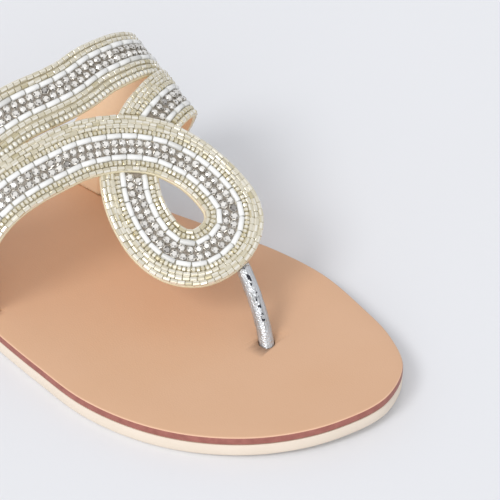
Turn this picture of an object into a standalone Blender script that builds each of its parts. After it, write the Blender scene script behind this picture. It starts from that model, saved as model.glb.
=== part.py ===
"""Right women's toe-post slipper with a beaded ribbon upper.

Sizes are in millimetres in the shoe's own axes: X to the lateral side, Y from the heel to the
toe, Z up from the floor. The root empty then puts the origin under the middle of the whole shoe.
"""
import math

import bmesh
import bpy
import numpy as np
from mathutils import Vector

MM = 0.001
GAP = 0.3

# Sole: heights at the forefoot, and how the footbed and the tread leave that plane.
OUTSOLE_THICK = 4.1
INSOLE_THICK = 2.5
HEEL_RISE = 4.5
HEEL_RISE_FROM, HEEL_RISE_TO = 165.0, 45.0
TOE_SPRING = 2.0
TOE_SPRING_FROM = 212.0
ARCH_LIFT = 2.6
ARCH_FROM, ARCH_TO = 72.0, 158.0
TREAD_CHAMFER = 0.9
FOOTBED_CHAMFER = 0.5
SOLE_STATIONS = 44
SOLE_LANES = 5

# Plan outline of the sole: distance from the heel, medial edge and lateral edge.
OUTLINE = (
    (6.0, -16.0, 18.0),
    (18.0, -25.0, 26.0),
    (40.0, -29.0, 29.5),
    (66.0, -29.5, 30.5),
    (96.0, -30.0, 31.0),
    (126.0, -32.3, 33.0),
    (150.0, -33.6, 36.0),
    (172.0, -37.6, 39.0),
    (192.0, -41.2, 40.7),
    (209.0, -41.4, 38.0),
    (226.0, -37.3, 30.6),
    (240.0, -32.0, 19.6),
    (250.5, -24.0, 4.5),
)
HEEL_TIP = (1.0, 0.0)
TOE_TIP = (-11.5, 254.8)

# Last that the straps lie on: crest line and widest points of each section, and the slope at the
# crest, which rises to the medial side over the toe joints.
LAST = (
    # along, crest x, crest height, medial x, lateral x, roll
    (90.0, -8.0, 79.0, -58.0, 34.0, 0.0),
    (115.0, -9.0, 73.0, -65.0, 36.0, 0.0),
    (140.0, -13.0, 62.0, -57.0, 38.0, 0.1),
    (165.0, -18.0, 48.0, -46.0, 40.0, 0.25),
    (190.0, -20.0, 34.0, -43.0, 40.0, 0.35),
    (215.0, -18.0, 21.0, -42.0, 36.0, 0.35),
)
LAST_BASE = 7.0
MEDIAL_FULLNESS, LATERAL_FULLNESS = 0.49, 0.62
TUCK_POWER = 2
SLOT_INSET = 4.0
SLOT_STATIONS = 10
SLOT_FLOOR, SLOT_CEILING = 3.0, 12.0
LEG_LEAN = 0.2
SECTION_SAMPLES = 61

# Straps: a leather wall with rows of beads sewn on, listed from the rear edge.
WALL = 1.8
SELVAGE = 0.4
VALLEY = 0.4
RIBBON_ROWS = (1.3, 1.3, 1.3, 1.5, 1.6, 2.3, 2.3, 1.6, 1.6, 1.5)
BAND_ROWS = (1.7, 1.7, 1.6, 2.3, 2.3, 1.6, 1.8, 1.8, 1.7)
ROW_CROWN = 0.5
STRAP_STEP = 4.5
BEADS_FROM, BEADS_FULL = 11.0, 17.0
BAND_DIP = 0.6
CROSSING_DIP = 1.5

# Strap centre lines on the last: distance from the heel, then girth from the crest as a share of
# the way to the medial slot (-1) or to the lateral slot (1).
RIBBON_PATH = (
    (141.0, 1.012), (141.0, 0.9), (142.8, 0.74), (147.0, 0.52), (152.0, 0.33), (156.0, 0.195), (162.6, 0.07),
    (171.8, -0.025), (180.4, -0.075), (189.4, -0.07), (194.0, 0.005), (195.4, 0.1), (193.2, 0.22),
    (187.8, 0.29), (180.6, 0.295), (172.6, 0.235), (165.6, 0.125), (162.0, -0.04), (158.6, -0.28),
    (152.0, -0.55), (146.2, -0.76), (143.2, -0.9), (142.5, -1.012),
)
CROSSING_UNDER = (14.2, 17.9)
BAND_PATH = (
    (125.4, 1.012), (125.4, 0.9), (127.8, 0.74), (132.8, 0.5), (138.0, 0.26), (141.6, 0.12), (143.1, 0.025),
    (143.3, -0.08), (143.8, -0.2), (143.2, -0.36), (137.8, -0.58), (131.4, -0.77), (127.6, -0.9),
    (127.0, -1.003),
)

# Toe post: its foot in the insole, its head under the front of the ribbon's loop, and how far it
# bows towards the toe between them.
POST_RADIUS = 2.1
POST_FOOT = (-7.9, 216.0)
POST_HEAD = (202.4, 0.1)
POST_BOW = 1.5
POST_SIDES = 20
POST_RINGS = 7

COLOURS = {
    "outsole": ((0.80, 0.71, 0.61), 0.55, 0.0),
    "insole": ((0.66, 0.40, 0.24), 0.48, 0.0),
    "upper": ((0.78, 0.68, 0.52), 0.35, 0.2),
    "toe_post": ((0.70, 0.70, 0.70), 0.28, 0.85),
}


def clear_scene():
    """Remove every object that is in the file."""
    for item in list(bpy.data.objects):
        bpy.data.objects.remove(item, do_unlink=True)


def smooth_step(value):
    """Ease from 0 to 1 as the value goes from 0 to 1."""
    value = np.clip(value, 0.0, 1.0)
    return value * value * (3.0 - 2.0 * value)


def through_rows(keys, rows, at):
    """Cubic curve through table rows, read at the given keys."""
    keys = np.asarray(keys, float)
    rows = np.asarray(rows, float)
    slope = np.gradient(rows, keys, axis=0)
    low = np.clip(np.searchsorted(keys, at) - 1, 0, len(keys) - 2)
    span = (keys[low + 1] - keys[low])[:, None]
    t = (np.asarray(at, float) - keys[low])[:, None] / span
    rise = t * t * (3.0 - 2.0 * t)
    start = t * (1.0 - t) ** 2 * span
    end = t * t * (t - 1.0) * span
    return rows[low] * (1.0 - rise) + rows[low + 1] * rise + slope[low] * start + slope[low + 1] * end


def outline_sides(samples=1200):
    """Medial and lateral edges of the sole as (along, x) curves from heel tip to toe tip."""
    lateral = [(x, along) for along, _, x in OUTLINE]
    medial = [(x, along) for along, x, _ in reversed(OUTLINE)]
    ring = np.array([HEEL_TIP, *lateral, TOE_TIP, *medial], float)
    wrapped = np.vstack([ring[-3:], ring, ring[:4]])
    knots = np.concatenate([[0.0], np.cumsum(np.linalg.norm(np.diff(wrapped, axis=0), axis=1))])
    dense = through_rows(knots, wrapped, np.linspace(knots[3], knots[3 + len(ring)], samples))
    heel, toe = int(np.argmin(dense[:, 1])), int(np.argmax(dense[:, 1]))
    dense = np.roll(dense[:-1], -heel, axis=0)
    toe = (toe - heel) % (samples - 1)
    lateral_side = dense[:toe + 1]
    medial_side = np.vstack([dense[toe:], dense[:1]])[::-1]
    return medial_side, lateral_side


MEDIAL_SIDE, LATERAL_SIDE = outline_sides()
HEEL_END = float(LATERAL_SIDE[0, 1])
TOE_END = float(LATERAL_SIDE[-1, 1])


def edge_x(side, along):
    """Edge of the sole at a distance from the heel."""
    return np.interp(along, side[:, 1], side[:, 0])


def toe_spring(along):
    """Lift of the toe off the floor."""
    reach = np.clip((along - TOE_SPRING_FROM) / (TOE_END - TOE_SPRING_FROM), 0.0, 1.0)
    return TOE_SPRING * reach ** 2


def tread_height(along):
    """Underside of the outsole: flat at heel and forefoot, lifted at the arch and the toe."""
    arch = np.clip((along - ARCH_FROM) / (ARCH_TO - ARCH_FROM), 0.0, 1.0)
    return ARCH_LIFT * np.sin(math.pi * arch) ** 2 + toe_spring(along)


def outsole_top(along):
    """Upper face of the outsole, rising to the heel."""
    rise = smooth_step((HEEL_RISE_FROM - along) / (HEEL_RISE_FROM - HEEL_RISE_TO))
    return OUTSOLE_THICK + HEEL_RISE * rise + toe_spring(along)


def insole_bottom(along):
    """Underside of the insole, just clear of the outsole."""
    return outsole_top(along) + GAP


def insole_top(along):
    """Footbed."""
    return insole_bottom(along) + INSOLE_THICK


def new_object(name, verts, faces, root=None):
    """Mesh object from points in millimetres, with its faces turned outward."""
    work = bmesh.new()
    points = [work.verts.new(Vector(tuple(float(c) * MM for c in point))) for point in verts]
    for face in faces:
        work.faces.new([points[index] for index in face])
    bmesh.ops.recalc_face_normals(work, faces=work.faces)
    mesh = bpy.data.meshes.new(name)
    work.to_mesh(mesh)
    work.free()
    item = bpy.data.objects.new(name, mesh)
    bpy.context.collection.objects.link(item)
    item.parent = root
    return item


def finish(item):
    """Give a piece its material and smooth shading with sharp edges kept."""
    colour, roughness, metallic = COLOURS[item.name]
    material = bpy.data.materials.new(item.name)
    material.use_nodes = True
    shader = material.node_tree.nodes["Principled BSDF"]
    shader.inputs["Base Color"].default_value = (*colour, 1.0)
    shader.inputs["Roughness"].default_value = roughness
    shader.inputs["Metallic"].default_value = metallic
    item.data.materials.append(material)
    item.data.shade_smooth()
    item.data.set_sharp_from_angle(angle=math.radians(40.0))


def sole_layer(name, levels, root):
    """Flat layer with the sole's outline; levels are (inset, height function) from below."""
    turn = np.linspace(0.0, math.pi, SOLE_STATIONS + 1)
    share = (1.0 - np.cos(turn)) / 2.0
    full = HEEL_END + share * (TOE_END - HEEL_END)
    inner = range(1, SOLE_STATIONS)
    verts, faces, loops, sides = [], [], [], []
    for inset, height in levels:
        along = HEEL_END + inset + share * (TOE_END - HEEL_END - 2.0 * inset)
        medial = edge_x(MEDIAL_SIDE, full) + inset * np.sin(turn)
        lateral = edge_x(LATERAL_SIDE, full) - inset * np.sin(turn)
        order = [(lateral, i) for i in range(SOLE_STATIONS + 1)]
        order += [(medial, i) for i in reversed(inner)]
        loops.append(list(range(len(verts), len(verts) + len(order))))
        sides.append((along, medial, lateral, height))
        for edge, i in order:
            verts.append((edge[i], along[i], float(height(along[i]))))
    count = len(loops[0])
    for lower, upper in zip(loops, loops[1:]):
        for k in range(count):
            n = (k + 1) % count
            faces.append((lower[k], lower[n], upper[n], upper[k]))
    for loop, (along, medial, lateral, height) in ((loops[0], sides[0]), (loops[-1], sides[-1])):
        lanes = {}
        for i in inner:
            row = [loop[count - i]]
            for j in range(1, SOLE_LANES):
                x = medial[i] + (lateral[i] - medial[i]) * j / SOLE_LANES
                row.append(len(verts))
                verts.append((x, along[i], float(height(along[i]))))
            row.append(loop[i])
            lanes[i] = row
        for i in range(1, SOLE_STATIONS - 1):
            for j in range(SOLE_LANES):
                faces.append((lanes[i][j], lanes[i][j + 1], lanes[i + 1][j + 1], lanes[i + 1][j]))
        for j in range(SOLE_LANES):
            faces.append((loop[0], lanes[1][j], lanes[1][j + 1]))
            last = lanes[SOLE_STATIONS - 1]
            faces.append((loop[SOLE_STATIONS], last[j], last[j + 1]))
    return new_object(name, verts, faces, root)


def last_points(spots):
    """Points of the last at (along, across) spots; past the slots it runs straight down."""
    along, across = spots[:, 0], spots[:, 1]
    table = np.array(LAST)
    sizes = through_rows(table[:, 0], table[:, 1:], along)
    crest_x, crest_z, medial_x, lateral_x, roll = (column[:, None] for column in sizes.T)
    lateral = (across >= 0.0)[:, None]
    slot_x = np.where(lateral[:, 0], edge_x(LATERAL_SIDE, along) - SLOT_INSET,
                      edge_x(MEDIAL_SIDE, along) + SLOT_INSET)[:, None]
    wide_x = np.where(lateral, lateral_x, medial_x)
    fullness = np.where(lateral, LATERAL_FULLNESS, MEDIAL_FULLNESS)
    angle = (math.pi / 2.0) * np.linspace(1.0, 0.0, SECTION_SAMPLES)[None, :] ** 2
    lift = np.sin(angle)
    x = crest_x + (wide_x - crest_x) * np.cos(angle) + (slot_x - wide_x) * (1.0 - lift) ** TUCK_POWER
    z = LAST_BASE + (crest_z - LAST_BASE) * lift ** fullness + roll * (crest_x - x) * lift
    girth = np.hypot(np.diff(x, axis=1), np.diff(z, axis=1))
    girth = np.concatenate([np.zeros((len(along), 1)), np.cumsum(girth, axis=1)], axis=1)
    target = np.abs(across) * girth[:, -1]
    reach = np.minimum(target, girth[:, -1])
    low = np.clip((girth <= reach[:, None]).sum(axis=1) - 1, 0, SECTION_SAMPLES - 2)
    pick = np.arange(len(along))
    span = girth[pick, low + 1] - girth[pick, low]
    t = (reach - girth[pick, low]) / span
    out_x = x[pick, low] * (1.0 - t) + x[pick, low + 1] * t
    out_z = z[pick, low] * (1.0 - t) + z[pick, low + 1] * t - (target - reach)
    return np.stack([out_x, along, out_z], axis=1)


def last_slopes(spots, along_step=0.5, across_step=0.01):
    """Rates of change of the last along and across, by central differences."""
    d_along = np.array([along_step, 0.0])
    d_across = np.array([0.0, across_step])
    by_along = (last_points(spots + d_along) - last_points(spots - d_along)) / (2.0 * along_step)
    by_across = (last_points(spots + d_across) - last_points(spots - d_across)) / (2.0 * across_step)
    return by_along, by_across


def last_normals(spots):
    """Outward unit normals of the last."""
    by_along, by_across = last_slopes(spots)
    normal = np.cross(by_across, by_along)
    return normal / np.linalg.norm(normal, axis=1)[:, None]


def settle(targets, spots, rounds=8):
    """Spots of the last that lie nearest to the target points."""
    spots = spots.copy()
    for _ in range(rounds):
        by_along, by_across = last_slopes(spots)
        miss = targets - last_points(spots)
        aa = (by_along * by_along).sum(axis=1)
        ac = (by_along * by_across).sum(axis=1)
        cc = (by_across * by_across).sum(axis=1)
        ma = (miss * by_along).sum(axis=1)
        mc = (miss * by_across).sum(axis=1)
        size = aa * cc - ac * ac
        spots[:, 0] += (cc * ma - ac * mc) / size
        spots[:, 1] += (aa * mc - ac * ma) / size
    return spots


def strap_stations(path, step):
    """Evenly spaced spots along a strap's centre line, with the path's own count at each."""
    path = np.array(path)
    count = np.arange(len(path), dtype=float)
    fine = np.linspace(0.0, count[-1], 60 * len(path))
    spots = through_rows(count, path, fine)
    points = last_points(spots)
    length = np.concatenate([[0.0], np.cumsum(np.linalg.norm(np.diff(points, axis=0), axis=1))])
    at = np.linspace(0.0, length[-1], int(round(length[-1] / step)) + 1)
    marks = np.interp(at, length, fine)
    return through_rows(count, path, marks), marks


def strap_section(rows):
    """Closed section of a strap as (offset, base height, bead height), from its rear edge."""
    half = sum(rows) / 2.0 + SELVAGE
    outer = [(-half, 0.0, 0.0)]
    edge = -sum(rows) / 2.0
    for width in rows:
        outer.append((edge, 0.0, VALLEY))
        outer.append((edge + width / 2.0, 0.0, VALLEY + ROW_CROWN * width))
        edge += width
    outer.append((edge, 0.0, VALLEY))
    outer.append((half, 0.0, 0.0))
    inner = [(half * share, -WALL, 0.0) for share in (1.0, 0.5, 0.0, -0.5, -1.0)]
    return np.array(outer + inner)


def strap_body(path, rows, dip):
    """Points and faces of a strap swept along its path on the last."""
    spots, marks = strap_stations(path, STRAP_STEP)
    centre = last_points(spots)
    normal = last_normals(spots)
    ahead = np.gradient(centre, axis=0)
    side = np.cross(ahead, normal)
    side /= np.linalg.norm(side, axis=1)[:, None]
    section = strap_section(rows)
    beads = smooth_step((centre[:, 2] - BEADS_FROM) / (BEADS_FULL - BEADS_FROM))
    verts = []
    for offset, base, bead in section:
        lane = settle(centre + side * offset, spots)
        height = base + bead * beads - dip(marks)
        verts.append(last_points(lane) + last_normals(lane) * height[:, None])
    verts = np.stack(verts, axis=1)
    stations, around = verts.shape[:2]
    faces = []
    for i in range(stations - 1):
        for k in range(around):
            n = (k + 1) % around
            faces.append((i * around + k, i * around + n, (i + 1) * around + n, (i + 1) * around + k))
    faces.append(tuple(range(around)))
    faces.append(tuple(range((stations - 1) * around, stations * around)))
    return verts.reshape(-1, 3), faces


def ribbon_dip(marks):
    """How far the ribbon sinks where it passes under itself."""
    start, end = CROSSING_UNDER
    return CROSSING_DIP * smooth_step(marks - start) * smooth_step(end - marks)


def band_dip(marks):
    """How far the instep band lies under the ribbon beside it."""
    return np.full(len(marks), BAND_DIP)


def hide_tool(item):
    """Keep a cutter or a joined body out of the finished parts."""
    item.hide_render = True
    item.display_type = "WIRE"


def boolean(item, tool, operation):
    """Join or cut a piece with a tool body."""
    modifier = item.modifiers.new(tool.name, "BOOLEAN")
    modifier.operation = operation
    modifier.object = tool
    modifier.solver = "EXACT"
    modifier.use_self = operation == "UNION"


def make_upper(root):
    """Ribbon with its loop and two legs, joined with the instep band."""
    ribbon = new_object("upper", *strap_body(RIBBON_PATH, RIBBON_ROWS, ribbon_dip), root)
    band = new_object("band_body", *strap_body(BAND_PATH, BAND_ROWS, band_dip), root)
    hide_tool(band)
    boolean(ribbon, band, "UNION")
    return ribbon


def post_rings(margin=0.0, foot_drop=0.0):
    """Points and faces of the bowed toe post, its head cut parallel to the loop above it."""
    head_spot = np.array([POST_HEAD])
    normal = last_normals(head_spot)[0]
    head = last_points(head_spot)[0] - normal * (WALL + GAP)
    foot = np.array([*POST_FOOT, float(outsole_top(POST_FOOT[1])) + GAP])
    bow = np.array([0.0, 4.0 * POST_BOW, 0.0])
    upright = np.array([0.0, 0.0, 1.0])
    verts = []
    for ring, share in enumerate(np.linspace(0.0, 1.0, POST_RINGS)):
        axis = head - foot + bow * (1.0 - 2.0 * share)
        axis /= np.linalg.norm(axis)
        point = foot + (head - foot) * share + bow * share * (1.0 - share)
        cut = axis
        if ring == 0:
            point = point - axis * foot_drop
            cut = upright
        elif ring == POST_RINGS - 1:
            cut = normal
        across = np.cross(axis, (1.0, 0.0, 0.0))
        across /= np.linalg.norm(across)
        beside = np.cross(across, axis)
        for k in range(POST_SIDES):
            turn = 2.0 * math.pi * k / POST_SIDES
            reach = (across * math.cos(turn) + beside * math.sin(turn)) * (POST_RADIUS + margin)
            verts.append(point + reach - axis * (reach @ cut) / (axis @ cut))
    faces = []
    for ring in range(POST_RINGS - 1):
        for k in range(POST_SIDES):
            n = (k + 1) % POST_SIDES
            low, high = ring * POST_SIDES, (ring + 1) * POST_SIDES
            faces.append((low + k, low + n, high + n, high + k))
    faces.append(tuple(range(POST_SIDES)))
    faces.append(tuple(range((POST_RINGS - 1) * POST_SIDES, POST_RINGS * POST_SIDES)))
    return verts, faces


def make_outsole(root):
    """Moulded outsole with a low heel, an arch and a rounded tread edge."""
    def above_chamfer(along):
        return tread_height(along) + TREAD_CHAMFER
    levels = ((TREAD_CHAMFER, tread_height), (0.0, above_chamfer), (0.0, outsole_top))
    return sole_layer("outsole", levels, root)


def slot_body(sign, side):
    """Points and faces of the cutter for one slot, which takes a ribbon leg and a band leg."""
    ends = [path[0 if sign > 0.0 else -1][0] for path in (BAND_PATH, RIBBON_PATH)]
    halves = [sum(rows) / 2.0 + SELVAGE + GAP for rows in (BAND_ROWS, RIBBON_ROWS)]
    along = np.linspace(ends[0] - halves[0], ends[1] + halves[1], SLOT_STATIONS)
    middle = edge_x(side, along) - sign * SLOT_INSET
    outer = middle + sign * (GAP + LEG_LEAN)
    inner = middle - sign * (WALL + BAND_DIP + GAP)
    verts = []
    for i in range(SLOT_STATIONS):
        for x, z in ((outer[i], SLOT_FLOOR), (outer[i], SLOT_CEILING),
                     (inner[i], SLOT_CEILING), (inner[i], SLOT_FLOOR)):
            verts.append((x, along[i], z))
    faces = []
    for i in range(SLOT_STATIONS - 1):
        for k in range(4):
            n = (k + 1) % 4
            faces.append((4 * i + k, 4 * i + n, 4 * i + 4 + n, 4 * i + 4 + k))
    faces.append((0, 1, 2, 3))
    faces.append(tuple(4 * (SLOT_STATIONS - 1) + k for k in range(4)))
    return verts, faces


def make_insole(root):
    """Leather footbed with slots for the straps and a hole for the toe post."""
    def below_chamfer(along):
        return insole_top(along) - FOOTBED_CHAMFER
    levels = ((0.0, insole_bottom), (0.0, below_chamfer), (FOOTBED_CHAMFER, insole_top))
    insole = sole_layer("insole", levels, root)
    cutters = (
        new_object("medial_slot", *slot_body(-1.0, MEDIAL_SIDE), root),
        new_object("lateral_slot", *slot_body(1.0, LATERAL_SIDE), root),
        new_object("post_hole", *post_rings(margin=GAP, foot_drop=POST_RADIUS), root),
    )
    for cutter in cutters:
        hide_tool(cutter)
        boolean(insole, cutter, "DIFFERENCE")
    return insole


def make_toe_post(root):
    """Round toe post between the footbed and the loop."""
    return new_object("toe_post", *post_rings(), root)


def centre_on_floor(root, pieces):
    """Move the root so that the origin lies under the middle of the shoe's box."""
    bpy.context.view_layer.update()
    graph = bpy.context.evaluated_depsgraph_get()
    points = []
    for piece in pieces:
        evaluated = piece.evaluated_get(graph)
        points += [evaluated.matrix_world @ vertex.co for vertex in evaluated.data.vertices]
    points = np.array(points)
    low, high = points.min(axis=0), points.max(axis=0)
    root.location = (-(low[0] + high[0]) / 2.0, -(low[1] + high[1]) / 2.0, -low[2])


def main():
    """Build the slipper."""
    clear_scene()
    root = bpy.data.objects.new("slipper", None)
    bpy.context.collection.objects.link(root)
    pieces = [make_outsole(root), make_insole(root), make_upper(root), make_toe_post(root)]
    for piece in pieces:
        finish(piece)
    centre_on_floor(root, pieces)


main()
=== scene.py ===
"""Dresses the toe-post slipper: leather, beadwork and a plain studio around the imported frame.

Shoe axes are in millimetres: X to the lateral side, Y from the heel to the toe, Z up from the floor.
"""

import enum
import itertools
import logging
import math
from dataclasses import dataclass, field
from typing import Callable, Optional, Sequence

import bmesh
import bpy
import numpy as np
from mathutils import Matrix, Vector


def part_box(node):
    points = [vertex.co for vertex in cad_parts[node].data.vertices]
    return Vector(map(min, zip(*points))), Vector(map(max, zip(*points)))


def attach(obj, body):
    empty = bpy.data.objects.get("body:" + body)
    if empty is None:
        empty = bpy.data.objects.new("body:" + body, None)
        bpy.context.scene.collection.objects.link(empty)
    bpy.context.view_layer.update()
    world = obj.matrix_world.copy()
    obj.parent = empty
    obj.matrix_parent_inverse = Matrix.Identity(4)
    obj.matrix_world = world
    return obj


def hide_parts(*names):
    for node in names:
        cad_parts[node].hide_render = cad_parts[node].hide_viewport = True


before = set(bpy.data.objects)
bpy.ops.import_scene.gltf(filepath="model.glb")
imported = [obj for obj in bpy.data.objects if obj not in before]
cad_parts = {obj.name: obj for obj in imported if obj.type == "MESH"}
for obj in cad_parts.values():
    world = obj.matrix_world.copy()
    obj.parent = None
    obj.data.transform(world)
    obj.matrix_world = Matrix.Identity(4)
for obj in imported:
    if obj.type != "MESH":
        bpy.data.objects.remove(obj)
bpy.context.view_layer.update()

LOG = logging.getLogger("slipper")
BODY = "root"
MM = 0.001
SEED = 7
FULL_TURN = 2.0 * math.pi

Item = bpy.types.Object
Material = bpy.types.Material
Tree = bpy.types.NodeTree
Socket = bpy.types.NodeSocket
Array = np.ndarray
Shape = tuple[list, list, list]


def linear(code: str) -> tuple[float, float, float, float]:
    """Turn an sRGB hex colour into linear RGBA.

    Args:
        code: six hex digits after a hash mark.

    Returns:
        Linear red, green and blue, and an alpha of 1.
    """
    parts = [int(code[i:i + 2], 16) / 255.0 for i in (1, 3, 5)]
    red, green, blue = (c / 12.92 if c <= 0.04045 else ((c + 0.055) / 1.055) ** 2.4 for c in parts)
    return red, green, blue, 1.0


def add_node(tree: Tree, kind: str, settings: Optional[dict] = None,
             inputs: Optional[dict] = None) -> bpy.types.Node:
    """Add a node with its settings, and set or link its inputs.

    Args:
        tree: node tree that gets the node.
        kind: Blender's type name of the node.
        settings: attribute values of the node.
        inputs: socket name or number to a value, or to an output socket to link from.

    Returns:
        The new node.
    """
    node = tree.nodes.new(kind)
    for key, value in (settings or {}).items():
        setattr(node, key, value)
    for key, value in (inputs or {}).items():
        if isinstance(value, Socket):
            tree.links.new(value, node.inputs[key])
        else:
            node.inputs[key].default_value = value
    return node


def blend(tree: Tree, share: Socket, first: object, second: object) -> Socket:
    """Mix two colours, each a linear colour or a socket, by a share from 0 to 1."""
    return add_node(tree, "ShaderNodeMix", {"data_type": "RGBA"}, {0: share, 6: first, 7: second}).outputs[2]


def reckon(tree: Tree, operation: str, *values: object) -> Socket:
    """Work out a number from values and sockets with a Math node."""
    return add_node(tree, "ShaderNodeMath", {"operation": operation}, dict(enumerate(values))).outputs[0]


def clouds(tree: Tree, size_mm: float, detail: float) -> Socket:
    """Noise that is fixed to the piece.

    Args:
        tree: node tree of the material.
        size_mm: size of a cloud.
        detail: octaves of finer noise.

    Returns:
        Socket from 0 to 1.
    """
    place = add_node(tree, "ShaderNodeTexCoord")
    noise = add_node(tree, "ShaderNodeTexNoise", inputs={
        "Vector": place.outputs["Object"], "Scale": 1.0 / (size_mm * MM), "Detail": detail})
    return noise.outputs["Fac"]


def smooth_step(value: Array) -> Array:
    """Ease from 0 to 1 as the value goes from 0 to 1."""
    value = np.clip(value, 0.0, 1.0)
    return value * value * (3.0 - 2.0 * value)


def through_rows(keys: Array, rows: Array, at: Array) -> Array:
    """Read a cubic curve that passes through table rows.

    Args:
        keys: rising key of each row.
        rows: values of each row.
        at: keys to read at.

    Returns:
        One row of values for each key read.
    """
    slope = np.gradient(rows, keys, axis=0)
    low = np.clip(np.searchsorted(keys, at) - 1, 0, len(keys) - 2)
    span = (keys[low + 1] - keys[low])[:, None]
    t = (at - keys[low])[:, None] / span
    rise = t * t * (3.0 - 2.0 * t)
    start = t * (1.0 - t) ** 2 * span
    end = t * t * (t - 1.0) * span
    return rows[low] * (1.0 - rise) + rows[low + 1] * rise + slope[low] * start + slope[low + 1] * end


def read_columns(at: Array, keys: Array, rows: Array) -> Array:
    """Read every column of a table by straight lines between its rows."""
    return np.stack([np.interp(at, keys, column) for column in rows.T], axis=1)


def arc_lengths(points: Array) -> Array:
    """Distance of each point from the first, along the line of points."""
    return np.concatenate([[0.0], np.cumsum(np.linalg.norm(np.diff(points, axis=0), axis=1))])


def unit(vectors: Array) -> Array:
    """Scale each row to length 1."""
    return vectors / np.linalg.norm(vectors, axis=1)[:, None]


def loft_faces(rings: int, around: int) -> list[tuple[int, ...]]:
    """Faces of a closed body made of rings of points.

    Args:
        rings: number of rings.
        around: points in each ring.

    Returns:
        Side faces, ring after ring, then the cap of the first ring and of the last.
    """
    faces = []
    end = (rings - 1) * around
    for a in range(0, end, around):
        b = a + around
        for k in range(around):
            n = (k + 1) % around
            faces.append((a + k, a + n, b + n, b + k))
    return [*faces, tuple(range(around)), tuple(range(end, end + around))]


@dataclass(frozen=True)
class Finish:
    """A surface finish with the values that every material shares."""

    name: str
    colour: str
    roughness: float
    metallic: float = 0.0
    coat: float = 0.0
    coat_roughness: float = 0.1
    bump_strength: float = 0.5

    def shader(self) -> tuple[Material, Tree, bpy.types.Node]:
        """Start the material.

        Returns:
            The material, its node tree and its Principled shader.
        """
        material = bpy.data.materials.new(self.name)
        material.use_nodes = True
        shader = material.node_tree.nodes["Principled BSDF"]
        values = {"Base Color": linear(self.colour), "Roughness": self.roughness, "Metallic": self.metallic,
                  "Coat Weight": self.coat, "Coat Roughness": self.coat_roughness}
        for key, value in values.items():
            shader.inputs[key].default_value = value
        return material, material.node_tree, shader

    def emboss(self, material: Material, size_mm: float, depth_mm: float) -> None:
        """Press a fine grain into the surface.

        Args:
            material: material that gets the bump.
            size_mm: width of a grain.
            depth_mm: depth of the grain.
        """
        tree = material.node_tree
        place = add_node(tree, "ShaderNodeTexCoord")
        cells = add_node(tree, "ShaderNodeTexVoronoi", {"feature": "DISTANCE_TO_EDGE"}, {
            "Vector": place.outputs["Object"], "Scale": 1.0 / (size_mm * MM), "Randomness": 1.0})
        bump = add_node(tree, "ShaderNodeBump", inputs={
            "Height": cells.outputs["Distance"], "Distance": depth_mm * MM,
            "Strength": self.bump_strength})
        tree.links.new(bump.outputs["Normal"], tree.nodes["Principled BSDF"].inputs["Normal"])


@dataclass(frozen=True)
class PlainFinish(Finish):
    """One material with faint clouds of a second tone."""

    cloud: str = "#FFFFFF"
    cloud_mm: float = 6.0
    cloud_detail: float = 4.0

    def build(self) -> Material:
        """Make the material.

        Returns:
            The material.
        """
        material, tree, shader = self.shader()
        share = clouds(tree, self.cloud_mm, self.cloud_detail)
        mixed = blend(tree, share, linear(self.colour), linear(self.cloud))
        tree.links.new(mixed, shader.inputs["Base Color"])
        return material


@dataclass(frozen=True)
class GrainLeather(PlainFinish):
    """Smooth finished leather: soft broad highlight, faint clouds of colour, very fine pores."""

    cloud_mm: float = 22.0
    grain_mm: float = 0.7
    grain_depth_mm: float = 0.08

    def build(self) -> Material:
        """Make the material.

        Returns:
            The material.
        """
        material = super().build()
        self.emboss(material, self.grain_mm, self.grain_depth_mm)
        return material


@dataclass(frozen=True)
class CutGlass(Finish):
    """Glass beads and stones: every piece has its own tint, and every facet its own painted light, from
    highlight to dark reflection.
    """

    # Deep colour: a deeper tint of the glass, and also the painted shade and dark reflections of the facets.
    deep_tint_and_shade: str = "#8C7A4E"

    def build(self) -> Material:
        """Make the material, which mixes two colours by tint and painted facet light together.

        Returns:
            The material.
        """
        material, tree, shader = self.shader()
        tint, painted_light = (add_node(tree, "ShaderNodeAttribute", {"attribute_name": name}).outputs["Fac"]
                      for name in ("tint", "facet"))
        both = add_node(tree, "ShaderNodeMath", {"operation": "ADD", "use_clamp": True}, {0: tint, 1: painted_light})
        mixed = blend(tree, both.outputs[0], linear(self.colour), linear(self.deep_tint_and_shade))
        tree.links.new(mixed, shader.inputs["Base Color"])
        return material


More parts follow.
